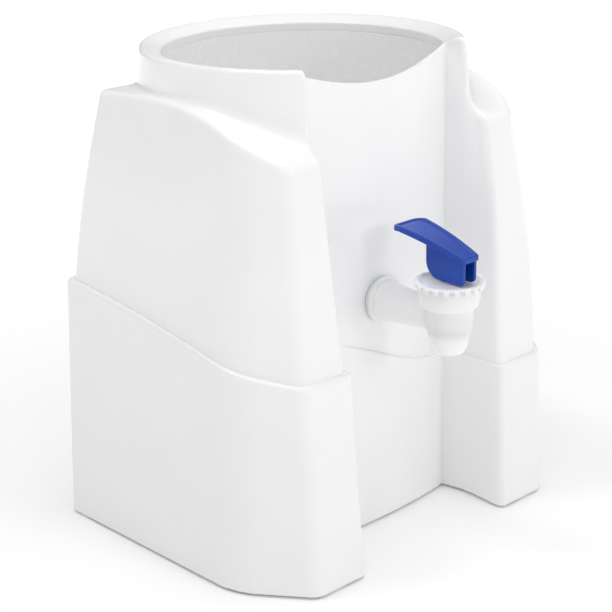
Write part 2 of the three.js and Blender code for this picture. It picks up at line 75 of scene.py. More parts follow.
# ---------- dimensions of the housing, in millimetres ----------
WALL = 3.0
DRUM_R = 108.2
DRUM_FLARE_Z = 294.0
MOUTH_R = 101.0
WELL_R = 91.5
FUNNEL_SLOPE = 0.55
LIP_UNDERSIDE_Z = 309.0
SIDE_X = 141.4
FRONT_Y = 120.6
BACK_Y = 96.0
CHAMFER_REACH = 159.2
HOUSING_FOOT_Z = 88.0
SHELF_Z = 80.0
SKIRT_FOOT_Z = 1.5
SKIRT_PROUD = 1.8
PANEL_Y = 69.4
PANEL_BOW = 400.0
CHEEK_X = 72.0
CHEEK_Y = 78.5
BAY_PROUD = 1.9
TAP_HOLE_R = 9.1
BOSS_R = 7.0
BOSS_TOP_Z = 118.0
SCREW_HOLE_R = 2.1
SCREW_HOLE_TOP_Z = 106.0
FOOT_SOCKET_R = 9.3

# The skirt's material reaches this far into the housing's wall, so that no gap shows at the step.
SKIRT_OVERLAP = 0.7
# The skirt's shelf and tabs stop this far below the housing's foot.
SHELF_GAP = 0.35

# The sloping step: its height at the left, its fall across the front and its rise to the rear.
LEDGE_LEFT_Z = 138.0
LEDGE_DROP = 35.0
LEDGE_FROM_X, LEDGE_TO_X = -58.5, 60.5
LEDGE_REAR_RISE = 31.0
LEDGE_FRONT_Y, LEDGE_BACK_Y = -115.0, 90.0

# The tub's lip stands a little higher than in the CAD, so that it meets the housing's lip.
TUB_TOP_Z = 309.2
TUB_FLOOR_Z = 140.0
TUB_FLOOR_R = 85.0
TUB_TOP_R = 93.9
TUB_WALL = 2.4
TUB_FLOOR = 3.0
TUB_FLANGE_R = 100.8

# ---------- dimensions of the tap and lever ----------
NOZZLE_TIP_Z = 137.3
SEAT_Z = 151.0
SHOULDER_Z = 168.0
BOWL_TOP_Z = 181.0
CHAMBER_R = 12.6
PIPE_NECK_R = 10.0
PIPE_ROOT_R = 12.8
PIPE_ROOT_Y = -78.2
THREAD_PITCH = 2.2
GRIPS = 20
NUT_FACE_Y = -60.6
PIN_HOLE_R = 1.75
CHEEK_OUT = 6.45
CHEEK_IN = 3.95
SLOT_ROOF_Z = 199.0
HEEL_Y = -114.2
CHEEK_FRONT_Y = -145.2
CHEEK_FOOT_Z = 185.15

FINE = 1.0


# ---------- distance fields ----------
def cut_round(a, b, r):
    """Where both fields are inside, with the edge between them rounded to radius r."""
    return np.minimum(-r, np.maximum(a, b)) + np.hypot(np.maximum(a + r, 0), np.maximum(b + r, 0))


def join_round(a, b, r):
    """Where either field is inside, with a fillet of radius r between them."""
    return -cut_round(-a, -b, r)


def ease(x, start, end):
    """0 before start, 1 after end, and a smooth run between them."""
    t = np.clip((x - start) / (end - start), 0, 1)
    return t * t * (3 - 2 * t)


def rod_z(x, y, z, r, z0, z1, edge):
    """An upright rod with rounded edges."""
    return cut_round(np.hypot(x, y) - r, np.maximum(z0 - z, z - z1), edge)


def rod_y(x, y, z, r, y0, y1, edge):
    """A rod along Y through the height of the tap's pipe."""
    return cut_round(np.hypot(x, z - PIPE_Z) - r, np.maximum(y0 - y, y - y1), edge)


def polygon(u, v, corners):
    """Signed distance to a closed outline in the plane of u and v."""
    best = np.full(np.broadcast(u, v).shape, 1e9)
    inside = np.zeros(best.shape, bool)
    for (ax, ay), (bx, by) in zip(corners, corners[1:] + corners[:1]):
        ex, ey = bx - ax, by - ay
        t = np.clip(((u - ax) * ex + (v - ay) * ey) / (ex * ex + ey * ey), 0, 1)
        best = np.minimum(best, np.hypot(u - ax - t * ex, v - ay - t * ey))
        if ay != by:
            crosses = ((ay > v) != (by > v)) & (u < (v - ay) * ex / ey + ax)
            inside ^= crosses
    return np.where(inside, -best, best)


# ---------- from a field to a mesh ----------
CORNER_STEPS = np.array(list(itertools.product((0, 1), repeat=3)))
CELL_EDGES = [
    (a, b)
    for a, b in itertools.combinations(range(8), 2)
    if np.abs(CORNER_STEPS[a] - CORNER_STEPS[b]).sum() == 1
]


def sample(field, low, high, step, even):
    """The field on a grid. An even field is the same on both sides of x = 0, so half of it is worked out."""
    count = [int(math.ceil((h - l) / step)) + 1 for l, h in zip(low, high)]
    if even:
        half = int(math.ceil(high[0] / step))
        low = (-half * step, low[1], low[2])
        xs = np.arange(0, half + 1) * step
    else:
        xs = low[0] + np.arange(count[0]) * step
    ys = low[1] + np.arange(count[1]) * step
    zs = low[2] + np.arange(count[2]) * step
    values = field(xs[:, None, None], ys[None, :, None], zs[None, None, :]).astype(np.float32)
    if even:
        values = np.concatenate([values[:0:-1], values])
    return values, np.array(low, float)


def surface_net(values, low, step):
    """One point in each cell that the surface crosses, and one quad round each crossed grid edge."""
    inside = values < 0
    shape = np.array(values.shape) - 1
    views = [inside[a:a + shape[0], b:b + shape[1], c:c + shape[2]] for a, b, c in CORNER_STEPS]
    crossed = np.logical_or.reduce(views) & ~np.logical_and.reduce(views)
    cells = np.argwhere(crossed)
    at = [values[tuple((cells + s).T)] for s in CORNER_STEPS]
    total = np.zeros((len(cells), 3))
    number = np.zeros(len(cells))
    for a, b in CELL_EDGES:
        cuts = (at[a] < 0) != (at[b] < 0)
        share = np.where(cuts, at[a] / np.where(cuts, at[a] - at[b], 1), 0)
        total += cuts[:, None] * (CORNER_STEPS[a] + share[:, None] * (CORNER_STEPS[b] - CORNER_STEPS[a]))
        number += cuts
    points = low + (cells + total / number[:, None]) * step
    index = np.full(tuple(shape), -1, np.int64)
    index[crossed] = np.arange(len(cells))
    quads = []
    for first in range(3):
        order = (first, (first + 1) % 3, (first + 2) % 3)
        solid, ids = inside.transpose(order), index.transpose(order)
        i, j, k = np.argwhere(solid[:-1, 1:-1, 1:-1] != solid[1:, 1:-1, 1:-1]).T
        quad = np.stack([ids[i, j, k], ids[i, j + 1, k], ids[i, j + 1, k + 1], ids[i, j, k + 1]], 1)
        outward = solid[i, j + 1, k + 1]
        quads.append(np.where(outward[:, None], quad, quad[:, ::-1]))
    return points, np.concatenate(quads)


def slope_of(field, points, reach=0.02):
    """The field's value and gradient at each point."""
    x, y, z = points.T
    here = field(x, y, z)
    ahead = (field(x + reach, y, z), field(x, y + reach, z), field(x, y, z + reach))
    return here, np.stack([(a - here) / reach for a in ahead], 1)


def settle(field, points, rounds=2):
    """Moves points along the gradient until they lie on the surface."""
    for _ in range(rounds):
        value, slope = slope_of(field, points)
        length = np.maximum(np.linalg.norm(slope, axis=1), 0.3)
        move = np.clip(value / length, -0.8, 0.8)
        points = points - (move / length)[:, None] * slope
    return points


def mesh_data(name, points, faces):
    faces = np.asarray(faces)
    data = bpy.data.meshes.new(name)
    data.vertices.add(len(points))
    data.vertices.foreach_set("co", np.asarray(points, np.float32).ravel())
    data.loops.add(faces.size)
    data.loops.foreach_set("vertex_index", faces.astype(np.int32).ravel())
    data.polygons.add(len(faces))
    data.polygons.foreach_set("loop_start", np.arange(0, faces.size, faces.shape[1], dtype=np.int32))
    data.update(calc_edges=True)
    return data


def link(name, data):
    obj = bpy.data.objects.new(name, data)
    bpy.context.scene.collection.objects.link(obj)
    return obj


def thinned(points, quads, triangles):
    """The same surface with about that many triangles, fewest where it is flattest."""
    data = mesh_data("dense", points, quads)
    obj = link("dense", data)
    fewer = obj.modifiers.new("fewer", "DECIMATE")
    fewer.ratio = triangles / (2 * len(quads))
    fewer.use_collapse_triangulate = True
    bpy.context.view_layer.update()
    result = bpy.data.meshes.new_from_object(obj.evaluated_get(bpy.context.evaluated_depsgraph_get()))
    result.calc_loop_triangles()
    co = np.zeros(len(result.vertices) * 3, np.float32)
    result.vertices.foreach_get("co", co)
    tri = np.zeros(len(result.loop_triangles) * 3, np.int32)
    result.loop_triangles.foreach_get("vertices", tri)
    bpy.data.objects.remove(obj)
    bpy.data.meshes.remove(data)
    bpy.data.meshes.remove(result)
    return co.reshape(-1, 3).astype(float), tri.reshape(-1, 3)


def shaded(data, field, points, faces):
    """Gives each face corner the surface's own normal, or the face's at a crease."""
    _, slope = slope_of(field, points)
    normal = slope / np.maximum(np.linalg.norm(slope, axis=1), 1e-9)[:, None]
    a, b, c = (points[faces[:, i]] for i in range(3))
    flat = np.cross(b - a, c - a)
    flat /= np.maximum(np.linalg.norm(flat, axis=1), 1e-12)[:, None]
    corner = normal[faces]
    even = np.einsum("fij,fij->fi", corner, np.roll(corner, 1, axis=1)).min(1) > 0.8
    agrees = (np.einsum("fij,fj->fi", corner, flat) > 0.6) | even[:, None]
    corner = np.where(agrees[:, :, None], corner, flat[:, None, :])
    data.polygons.foreach_set("use_smooth", np.ones(len(faces), bool))
    data.normals_split_custom_set(corner.reshape(-1, 3).astype(np.float32))


def unfolded(field, before, after, faces):
    """Takes back the moves that turned a face over."""
    _, slope = slope_of(field, after)
    a, b, c = (after[faces[:, i]] for i in range(3))
    over = np.einsum("ij,ij->i", np.cross(b - a, c - a), slope[faces].sum(1)) < 0
    after[faces[over].ravel()] = before[faces[over].ravel()]
    return after


def grown(name, field, low, high, step, triangles, even=False, shift=(0, 0, 0)):
    """A new object: the surface of a field, in the CAD frame and in metres."""
    values, origin = sample(field, low, high, step, even)
    points, quads = surface_net(values, origin, step)
    points = settle(field, points)
    if 2 * len(quads) > 1.3 * triangles:
        points, faces = thinned(points, quads, triangles)
        points = unfolded(field, points, settle(field, points, 1), faces)
    else:
        faces = np.concatenate([quads[:, (0, 1, 2)], quads[:, (0, 2, 3)]])
    place = (points + np.array(shift, float) + (0, DRUM_Y, 0)) * MM
    data = mesh_data(name, place, faces)
    shaded(data, field, points, faces)
    return link(name, data)


# ---------- housing and skirt ----------
def skirt_lean(z):
    return 0.048 * z, 0.03 * z, 0.018 * z


def housing_lean(z):
    t = z - 140
    return (
        11.2 + 0.088 * t + 0.000312 * t * t,
        7 + 0.06 * t + 0.00045 * t * t,
        6.5 + 0.06 * t + 0.0005 * t * t,
    )


def block(x, y, z, lean):
    """The block's side walls, with its outer front corners cut off."""
    front, side, chamfer = lean(z)
    across = np.abs(x)
    faced = cut_round(-y - (FRONT_Y - front), 0.8 * across - 0.6 * y - (CHAMFER_REACH - chamfer), 5)
    sided = cut_round(faced, across - (SIDE_X - side), 9)
    return cut_round(sided, y - (BACK_Y - 0.9 * side), 9)


def bay(x, y, z, lean, proud):
    """The space between the legs: inner walls, angled cheeks and a bowed panel at the back."""
    front = lean(np.minimum(z, 270))[0]
    across = np.abs(x)
    inset = BAY_PROUD if proud else 0
    mouth = 71.1 + 0.033 * (np.maximum(z, 0) - 120) * (0.75 if proud else 1) - inset
    reach = np.maximum(FRONT_Y - front - 8 - CHEEK_Y, 1)
    forward = np.clip((-CHEEK_Y - y) / reach, 0, 1)
    cheek_x = CHEEK_X - inset
    wall = cheek_x + (mouth - cheek_x) * forward
    cheek = (across - cheek_x + 0.304 * (y + CHEEK_Y)) / 1.045
    bow = PANEL_BOW - np.sqrt(PANEL_BOW**2 - np.minimum(across, 90) ** 2)
    sides = cut_round(across - wall, cheek, 6)
    return np.maximum(sides, y + PANEL_Y + proud - bow)


def arm_top(y, z):
    away = y - 10
    steep = np.where(away < 0, 0.002686, 0.0007)
    return (z - 297 + steep * away**2) / np.hypot(1, 2 * steep * away)


def housing_outside(x, y, z):
    rho = np.hypot(x, y)
    arms = cut_round(block(x, y, z, housing_lean), arm_top(y, z), 3)
    above = z - DRUM_FLARE_Z
    drum = cut_round(rho - DRUM_R + 0.05 * (above + np.hypot(above, 8)), z - RIM_Z, 3.2)
    body = join_round(arms, drum, 3 + 6 * ease(y, 25, -50))
    space = bay(x, y, z, housing_lean, 0)
    return cut_round(body, -space, 1.8 + 3.2 * ease(rho, 95, 105)), space


def funnel(rho, z):
    """Height over the cone that the mouth is cut to."""
    return (z - RIM_Z + FUNNEL_SLOPE * (MOUTH_R - rho)) / math.hypot(1, FUNNEL_SLOPE)


def housing_field(x, y, z):
    outside, space = housing_outside(x, y, z)
    rho = np.hypot(x, y)
    cone = funnel(rho, z)
    hollow = np.maximum(outside + WALL, z - LIP_UNDERSIDE_Z)
    well = np.maximum(rho - WELL_R, WALL - space)
    inside = np.minimum(hollow, well)
    shell = cut_round(cut_round(outside, cone, 1.7), -inside, 0.5)
    hole = np.hypot(x, z - PIPE_Z) - TAP_HOLE_R
    tapped = np.maximum(shell, -np.maximum(hole, y + 50))
    bosses = [rod_z(np.abs(x) - bx, y - by, z, BOSS_R, 60, BOSS_TOP_Z, 1) for bx, by in SCREW_SPOTS]
    holes = [np.hypot(np.abs(x) - bx, y - by) - SCREW_HOLE_R for bx, by in SCREW_SPOTS]
    bossed = np.minimum(tapped, np.maximum(np.minimum(*bosses), outside))
    drilled = np.maximum(bossed, -np.maximum(np.minimum(*holes), z - SCREW_HOLE_TOP_Z))
    return np.maximum(drilled, HOUSING_FOOT_Z - z)


def screw_spots(names):
    """The plan places of paired screws, one for each mirrored pair."""
    spots = set()
    for x, y, _ in map(centre_mm, names):
        spots.add((round(abs(x), 2), round(y - DRUM_Y, 2)))
    return sorted(spots)


SCREW_SPOTS = screw_spots([f"base_screw_{c}" for c in CORNERS])
FOOT_SPOTS = screw_spots([f"foot_{c}" for c in CORNERS])


def ledge_height(x, y):
    """The step drops from left to right across the front, and rises rearwards outside the bay."""
    across = LEDGE_LEFT_Z - LEDGE_DROP * ease(x, LEDGE_FROM_X, LEDGE_TO_X)
    ahead = (LEDGE_BACK_Y - np.clip(y, LEDGE_FRONT_Y, LEDGE_BACK_Y)) / (LEDGE_BACK_Y - LEDGE_FRONT_Y)
    back = LEDGE_REAR_RISE * (1 - ahead**1.5)
    outer = np.where(y > 0, 1, ease(np.abs(x), 66, 100))
    return across + back * outer


def above_ledge(x, y, z):
    here = ledge_height(x, y)
    rise_x = (ledge_height(x + 0.5, y) - here) / 0.5
    rise_y = (ledge_height(x, y + 0.5) - here) / 0.5
    return (z - here) / np.sqrt(1 + rise_x**2 + rise_y**2)


def skirt_field(x, y, z):
    rho = np.hypot(x, y)
    bulge = DRUM_R + SKIRT_PROUD
    walls = join_round(block(x, y, z, skirt_lean), rho - bulge, 6)
    space = bay(x, y, z, skirt_lean, SKIRT_PROUD)
    outside = cut_round(walls, -space, 5)
    in_bay = ease(outside + np.maximum(space, -6), -6, 0)
    rounded = cut_round(outside, above_ledge(x, y, z), 2.4 - 1.0 * (space < 6) * in_bay)
    socket = housing_outside(x, y, np.maximum(z, HOUSING_FOOT_Z))[0] + SKIRT_OVERLAP
    low = np.maximum(outside + WALL, z - SHELF_Z)
    shelf = np.maximum(outside + 2 * WALL, z - HOUSING_FOOT_Z)
    inside = np.minimum(np.minimum(low, shelf), np.maximum(socket, HOUSING_FOOT_Z - SHELF_GAP - z))
    shell = cut_round(rounded, -inside, 0.5)
    tab_top = HOUSING_FOOT_Z - SHELF_GAP
    tabs = [rod_z(np.abs(x) - bx, y - by, z, 9, 84, tab_top, 0.5) for bx, by in SCREW_SPOTS]
    pads = [rod_z(np.abs(x) - bx, y - by, z, 12, 0, 7, 0.8) for bx, by in FOOT_SPOTS]
    extra = np.maximum(np.minimum(np.minimum(*tabs), np.minimum(*pads)), outside)
    holes = [np.hypot(np.abs(x) - bx, y - by) - SCREW_HOLE_R for bx, by in SCREW_SPOTS]
    cups = [np.hypot(np.abs(x) - bx, y - by) - FOOT_SOCKET_R for bx, by in FOOT_SPOTS]
    body = np.maximum(np.minimum(shell, extra), -np.maximum(np.minimum(*holes), np.maximum(z - 90, 78 - z)))
    body = np.maximum(body, -np.maximum(np.minimum(*cups), z - 5))
    return cut_round(body, SKIRT_FOOT_Z - z, 0.6)


# ---------- water tub ----------
def tub_field(x, y, z):
    rho = np.hypot(x, y)
    wide = TUB_FLOOR_R + (TUB_TOP_R - TUB_FLOOR_R) * (z - TUB_FLOOR_Z) / (TUB_TOP_Z - TUB_FLOOR_Z)
    space = bay(x, y, z, housing_lean, 0)
    cone = cut_round(cut_round(rho - wide, WALL + 0.5 - space, 3), TUB_FLOOR_Z - z, 4)
    flange = cut_round(rod_z(x, y, z, TUB_FLANGE_R, TUB_TOP_Z - 2.8, TUB_TOP_Z, 0.1), WALL + 0.5 - space, 1)
    in_wall = cut_round(rho - wide + TUB_WALL, WALL + 0.5 + TUB_WALL - space, 3)
    room = cut_round(in_wall, TUB_FLOOR_Z + TUB_FLOOR - z, 4)
    hole = np.maximum(np.hypot(x, z - PIPE_Z) - TAP_HOLE_R, y + 50)
    body = np.maximum(join_round(cone, flange, 1.5), z - TUB_TOP_Z)
    screws = [np.hypot(np.abs(x) - bx, y - by) - 1.9 for bx, by in screw_spots(TUB_SCREWS)]
    body = cut_round(cut_round(body, -room, 0.4), funnel(rho, z) + 3, 0.8)
    return np.maximum(body, -np.minimum(hole, np.maximum(np.minimum(*screws), 300 - z)))


# ---------- tap ----------
def bowl_radius(z):
    """The bowl's outside: a tapered nozzle, a step, and a wide neck under the collar."""
    nozzle = 15.3 - 0.0055 * np.maximum(SHOULDER_Z - z, 0) ** 2 - 0.02 * np.maximum(143 - z, 0) ** 2
    neck = 19.7 - 0.012 * np.maximum(180 - z, 0) ** 2
    return nozzle, neck


def tap_field(x, y, z):
    rho = np.hypot(x, y - TAP_Y)
    nozzle_r, neck_r = bowl_radius(z)
    nozzle = cut_round((rho - nozzle_r) / 1.03, np.maximum(NOZZLE_TIP_Z - z, z - 175), 0.8)
    neck = cut_round((rho - neck_r) / 1.05, np.maximum(168.4 - z, z - BOWL_TOP_Z), 0.9)
    bowl = join_round(nozzle, neck, 0.9)
    run = np.clip((y - TAP_Y - 12) / (PIPE_ROOT_Y - TAP_Y - 12), 0, 1)
    taper = np.hypot(x, z - PIPE_Z) - PIPE_NECK_R - (PIPE_ROOT_R - PIPE_NECK_R) * run
    pipe = np.maximum(taper, np.maximum(TAP_Y - y, y + 76))
    hub = rod_y(x, y, z, 13.6, -79.2, -74, 0.9)
    flange = rod_y(x, y, z, 15.5, -75.2, -72.2, 1.1)
    turn = np.arctan2(z - PIPE_Z, x) / (2 * math.pi)
    shank_r = 8.45 + 0.25 * np.cos(2 * math.pi * (y / THREAD_PITCH - turn))
    shank = np.maximum(np.hypot(x, z - PIPE_Z) - shank_r, np.maximum(-74 - y, y + 47))
    stack = join_round(join_round(flange, hub, 0.6), shank, 0.3)
    outside = join_round(join_round(bowl, pipe, 2.2), stack, 0.6)
    chamber = [(-5, SEAT_Z), (CHAMBER_R, SEAT_Z), (CHAMBER_R, 170)]
    room = polygon(rho, z, [*chamber, (16, 177), (16, 184), (-5, 184)])
    outlet = polygon(rho, z, [(-5, 130), (8.4, 130), (8.4, 137), (6.2, 149), (6.2, 152), (-5, 152)])
    bore = np.minimum(rod_y(x, y, z, 7, TAP_Y, -76, 0.1), rod_y(x, y, z, 6, -80, -40, 0.1))
    return cut_round(outside, -np.minimum(np.minimum(room, outlet), bore), 0.5)


def collar_field(x, y, z):
    """A screw cap: a disc with a raised edge, and grips round its skirt."""
    rho = np.hypot(x, y)
    turn = np.arctan2(y, x)
    grip = np.cos(GRIPS * turn)
    lug = ease(grip, -0.35, 0.25)
    foot = 182.6 - 1.9 * lug
    body = cut_round((rho - 21.2 - 1.05 * lug) / 1.15, z - 184.8, 0.9)
    body = cut_round(body, (foot - z) / 1.2, 0.35)
    band = cut_round(rho - 20.9, np.maximum(180.4 - z, z - 184.5), 0.5)
    body = join_round(body, band, 0.3)
    dish = rod_z(x, y, z, 18.6, 184.3, 190, 0.2)
    inside = np.minimum(rod_z(x, y, z, 20.1, 170, 183.2, 0.2), rho - 4.2)
    return cut_round(body, -np.minimum(inside, dish), 0.4)


# ---------- lever ----------
TOE_Y = -146.4
REAR_Y = -89.6
KNEE_Y = -97.0


def plate_top(y):
    ahead = np.maximum(KNEE_Y - y, 0)
    behind = np.maximum(y - KNEE_Y, 0)
    return 215.9 - 0.135 * ahead - 0.0026 * ahead**2 - 0.15 * behind


def plate_plan(x, y):
    half = 12.6 - 0.108 * np.maximum(-98 - y, 0) - 0.14 * np.maximum(y + 98, 0)
    return cut_round(cut_round(np.abs(x) - half, y - REAR_Y, 4.5), TOE_Y - y, 1.8)


def lever_field(x, y, z):
    tilt = 1.04
    top = plate_top(y)
    plan = plate_plan(x, y)
    thick = 3.5 + 1.0 * np.sin(math.pi * np.clip((y - TOE_Y) / (REAR_Y - TOE_Y), 0, 1))
    plate = cut_round(cut_round(plan, (z - top) / tilt, 0.8), (top - thick - z) / tilt, 0.8)
    floor = top - 1.15
    tray = cut_round(plan + 2.9 - 0.7 * (z - floor), (floor - z) / tilt, 0.5)
    plate = cut_round(plate, -tray, 0.35)
    heel = cut_round(y - HEEL_Y, CHEEK_FOOT_Z - z, 11)
    outline = cut_round(heel, CHEEK_FRONT_Y - y, 3.4)
    cheeks = cut_round(cut_round(np.abs(x) - CHEEK_OUT, outline, 0.9), (z - top + 2) / tilt, 0.4)
    slot = np.maximum(np.maximum(np.abs(x) - CHEEK_IN, y + 100), z - SLOT_ROOF_Z)
    body = join_round(cheeks, plate, 0.5)
    body = cut_round(body, -slot, 0.5)
    socket = np.maximum(np.hypot(y - TAP_Y, z - PIN_Z) - PIN_HOLE_R, np.abs(x) - 5.2)
    return np.maximum(body, -socket)


# ---------- small parts ----------
def screw_field(shank_r, head_r, head_h, length, pitch):
    """A pan-head screw with its head down at z = 0, a cross recess and a thread."""
    def field(x, y, z):
        rho = np.hypot(x, y)
        turn = np.arctan2(y, x) / (2 * math.pi)
        top = head_h + length
        crest = shank_r - 0.35 + 0.35 * np.cos(2 * math.pi * (z / pitch - turn))
        taper = np.maximum(z - top + 2.5, 0) * 0.5
        shank = np.maximum((rho - crest + taper) / 1.2, np.maximum(head_h - 0.5 - z, z - top))
        dome = np.hypot(rho, np.minimum(z - head_r * 1.6, 0)) - head_r * 1.6
        head = cut_round(rho - head_r, np.maximum(dome, z - head_h), 0.3)
        wing = np.minimum(np.abs(x), np.abs(y)) - 0.45
        recess = np.maximum(np.maximum(wing, rho - 0.6 * head_r + 0.5 * z), z - 1.4)
        return np.maximum(np.minimum(head, shank), -recess)
    return field


def foot_field(x, y, z):
    rho = np.hypot(x, y)
    pad = cut_round(rho - 9, np.maximum(-z, z - 4.65), 0.8)
    groove = np.hypot(rho - 5.2, z) - 0.5
    return np.maximum(pad, -groove)


def stem_field(x, y, z):
    rho = np.hypot(x, y)
    foot = rod_z(x, y, z, 2.2, 153.4, 159, 0.2)
    shaft = rod_z(x, y, z, 3.5, 157.9, 197, 0.7)
    groove = np.maximum(np.hypot(rho - 3.9, z - 170) - 0.8, 0)
    hole = np.hypot(y, z - PIN_Z) - PIN_HOLE_R
    return np.maximum(np.minimum(foot, shaft), -np.minimum(hole, groove))


def plug_field(x, y, z):
    rho = np.hypot(x, y)
    tip = [(-3, 148.2), (3.0, 148.2), (5.2, 151.9)]
    disc = [(8.6, 151.9), (8.6, 154.4), (7, 156.9), (-3, 156.9)]
    dome = polygon(rho, z, tip + disc)
    return np.maximum(dome - 0.6, -rod_z(x, y, z, 2.6, 153, 165, 0.1))


def washer_field(r, hole, y0, y1):
    def field(x, y, z):
        ring = np.hypot(x, z - PIPE_Z)
        return cut_round(np.maximum(ring - r, hole - ring), np.maximum(y0 - y, y - y1), 0.5)
    return field


def nut_field(x, y, z):
    ring = np.hypot(x, z - PIPE_Z)
    turn = np.arctan2(z - PIPE_Z, x)
    sector = math.pi / 3
    near = np.mod(turn, sector) - sector / 2
    hexagon = ring * np.cos(near) - 12.1
    body = cut_round(cut_round(hexagon, ring - 13.7, 0.6), np.maximum(NUT_FACE_Y - y, y + 53), 0.7)
    skirt = cut_round(ring - 14.8, np.maximum(NUT_FACE_Y - y, y + 58.4), 0.7)
    thread = 9.0 + 0.2 * np.cos(2 * math.pi * (y / THREAD_PITCH - turn / (2 * math.pi)))
    return cut_round(join_round(body, skirt, 0.5), thread - ring, 0.2)


def seal_field(x, y, z):
    ring = np.maximum(np.hypot(x, y) - 19.4, 6.6 - np.hypot(x, y))
    return cut_round(ring, np.maximum(181.35 - z, z - 182.85), 0.4)


def pin_field(x, y, z):
    return cut_round(np.hypot(y, z) - 1.45, np.abs(x) - 4.9, 0.35)


def spring_mesh(name, axis_y, z0, z1, radius, wire, turns):
    """A compression spring: active turns between two closed, flattened end turns."""
    steps, sides = 34 * (turns + 2), 12
    t = np.linspace(0, 1, steps)
    angle = t * (turns + 2) * 2 * math.pi
    rise = np.clip((t * (turns + 2) - 1) / turns, 0, 1)
    height = z0 + wire + (z1 - z0 - 2 * wire) * rise
    height = height + np.where(t < 0.1, -0.2, 0) * (1 - t / 0.1)
    around = np.linspace(0, 2 * math.pi, sides, endpoint=False)
    out = radius + wire * np.cos(around)[None, :]
    x = out * np.cos(angle)[:, None]
    y = out * np.sin(angle)[:, None] + axis_y
    z = height[:, None] + wire * np.sin(around)[None, :]
    points = np.stack([x, y + DRUM_Y, z], 2).reshape(-1, 3) * MM
    ring = np.arange(sides)
    quads = []
    for k in range(steps - 1):
        a, b = k * sides + ring, k * sides + np.roll(ring, -1)
        quads.append(np.stack([a, a + sides, b + sides, b], 1))
    data = bpy.data.meshes.new(name)
    caps = [list(range(sides)), list(range(steps * sides - 1, (steps - 1) * sides - 1, -1))]
    data.from_pydata(points.tolist(), [], np.concatenate(quads).tolist() + caps)
    data.polygons.foreach_set("use_smooth", np.ones(len(data.polygons), bool))
    return link(name, data)


# ---------- materials ----------
def node_material(name, base, roughness, **sockets):
    """A Principled material with its plain values set on the shader's own sockets."""
    material = bpy.data.materials.new(name)
    material.use_nodes = True
    shader = material.node_tree.nodes["Principled BSDF"]
    shader.inputs["Base Color"].default_value = (*base, 1)
    shader.inputs["Roughness"].default_value = roughness
    for socket, value in sockets.items():
        shader.inputs[socket.replace("_", " ")].default_value = value
    return material, shader


def noise(tree, scale, detail=3.0, rough=0.5):
    where = tree.nodes.new("ShaderNodeTexCoord")
    texture = tree.nodes.new("ShaderNodeTexNoise")
    texture.inputs["Scale"].default_value = scale
    texture.inputs["Detail"].default_value = detail
    texture.inputs["Roughness"].default_value = rough
    tree.links.new(where.outputs["Object"], texture.inputs["Vector"])
    return texture.outputs["Fac"]


def ramp(tree, source, low, high, low_at=0.35, high_at=0.65):
    """Turns a 0 to 1 value into a colour between low and high."""
    node = tree.nodes.new("ShaderNodeValToRGB")
    node.color_ramp.elements[0].position = low_at
    node.color_ramp.elements[1].position = high_at
    node.color_ramp.elements[0].color = (*low, 1)
    node.color_ramp.elements[1].color = (*high, 1)
    tree.links.new(source, node.inputs["Fac"])
    return node.outputs["Color"]


def spread(tree, source, low, high, from_low=0.3, from_high=0.7):
    node = tree.nodes.new("ShaderNodeMapRange")
    node.inputs["To Min"].default_value = low
    node.inputs["To Max"].default_value = high
    node.inputs["From Min"].default_value = from_low
    node.inputs["From Max"].default_value = from_high
    tree.links.new(source, node.inputs["Value"])
    return node.outputs["Result"]


def bumps(tree, shader, layers):
    """Stacks bump layers of (height source, distance in metres, strength)."""
    last = None
    for source, distance, strength in layers:
        bump = tree.nodes.new("ShaderNodeBump")
        bump.inputs["Distance"].default_value = distance
        bump.inputs["Strength"].default_value = strength
        tree.links.new(source, bump.inputs["Height"])
        if last is not None:
            tree.links.new(last, bump.inputs["Normal"])
        last = bump.outputs["Normal"]
    tree.links.new(last, shader.inputs["Normal"])


def moulded(name, dark, light, roughness, wave, grain, **sockets):
    """Moulded plastic: faint mottling, slow waviness of the gloss and a fine tool-mark grain."""
    material, shader = node_material(name, light, roughness, **sockets)
    tree = material.node_tree
    cloud = noise(tree, 26, 4, 0.55)
    tree.links.new(ramp(tree, cloud, dark, light), shader.inputs["Base Color"])
    fine = noise(tree, 120, 1, 0.4)
    tree.links.new(spread(tree, fine, roughness * 0.97, roughness * 1.03), shader.inputs["Roughness"])
    slow = noise(tree, 34, 1, 0.4)
    bumps(tree, shader, [(slow, wave, 0.5), (noise(tree, 1500, 2, 0.5), grain, 0.35)])
    return material


def brushed_steel(name):
    material, shader = node_material(name, (0.62, 0.63, 0.64), 0.3, Metallic=1.0)
    tree = material.node_tree
    grain = noise(tree, 900, 4, 0.7)
    tree.links.new(ramp(tree, grain, (0.5, 0.51, 0.53), (0.68, 0.69, 0.7)), shader.inputs["Base Color"])
    tree.links.new(spread(tree, grain, 0.22, 0.4), shader.inputs["Roughness"])
    bumps(tree, shader, [(grain, 0.00002, 0.4)])
    return material


WHITE = moulded("white_polypropylene", (0.94, 0.941, 0.943), (0.955, 0.955, 0.957), 0.2, 0.0002, 0.00001)
# Painted light: a lighter copy of the housing's white, which brightens the tub in the shaded well.
TUB_LIGHTER_WHITE = moulded("tub_white", (0.955, 0.956, 0.958), (0.968, 0.969, 0.97), 0.27, 0.0002, 0.00001)
TAP_MILKY = moulded(
    "milky_tap", (0.945, 0.947, 0.95), (0.965, 0.967, 0.97), 0.3, 0.0002, 0.00001,
    Subsurface_Weight=0.8, Subsurface_Radius=(1.0, 1.0, 1.0), Subsurface_Scale=0.004, IOR=1.49,
)
LEVER_BLUE = moulded(
    "blue_lever", (0.004, 0.05, 0.36), (0.006, 0.064, 0.43), 0.3, 0.00015, 0.00001, Specular_IOR_Level=0.4
)
SILICONE = moulded("milky_silicone", (0.74, 0.76, 0.77), (0.82, 0.84, 0.85), 0.5, 0.0002, 0.00002)
RUBBER = moulded("dark_rubber", (0.018, 0.018, 0.019), (0.03, 0.03, 0.032), 0.75, 0.0002, 0.00004)
STEEL = brushed_steel("stainless_steel")


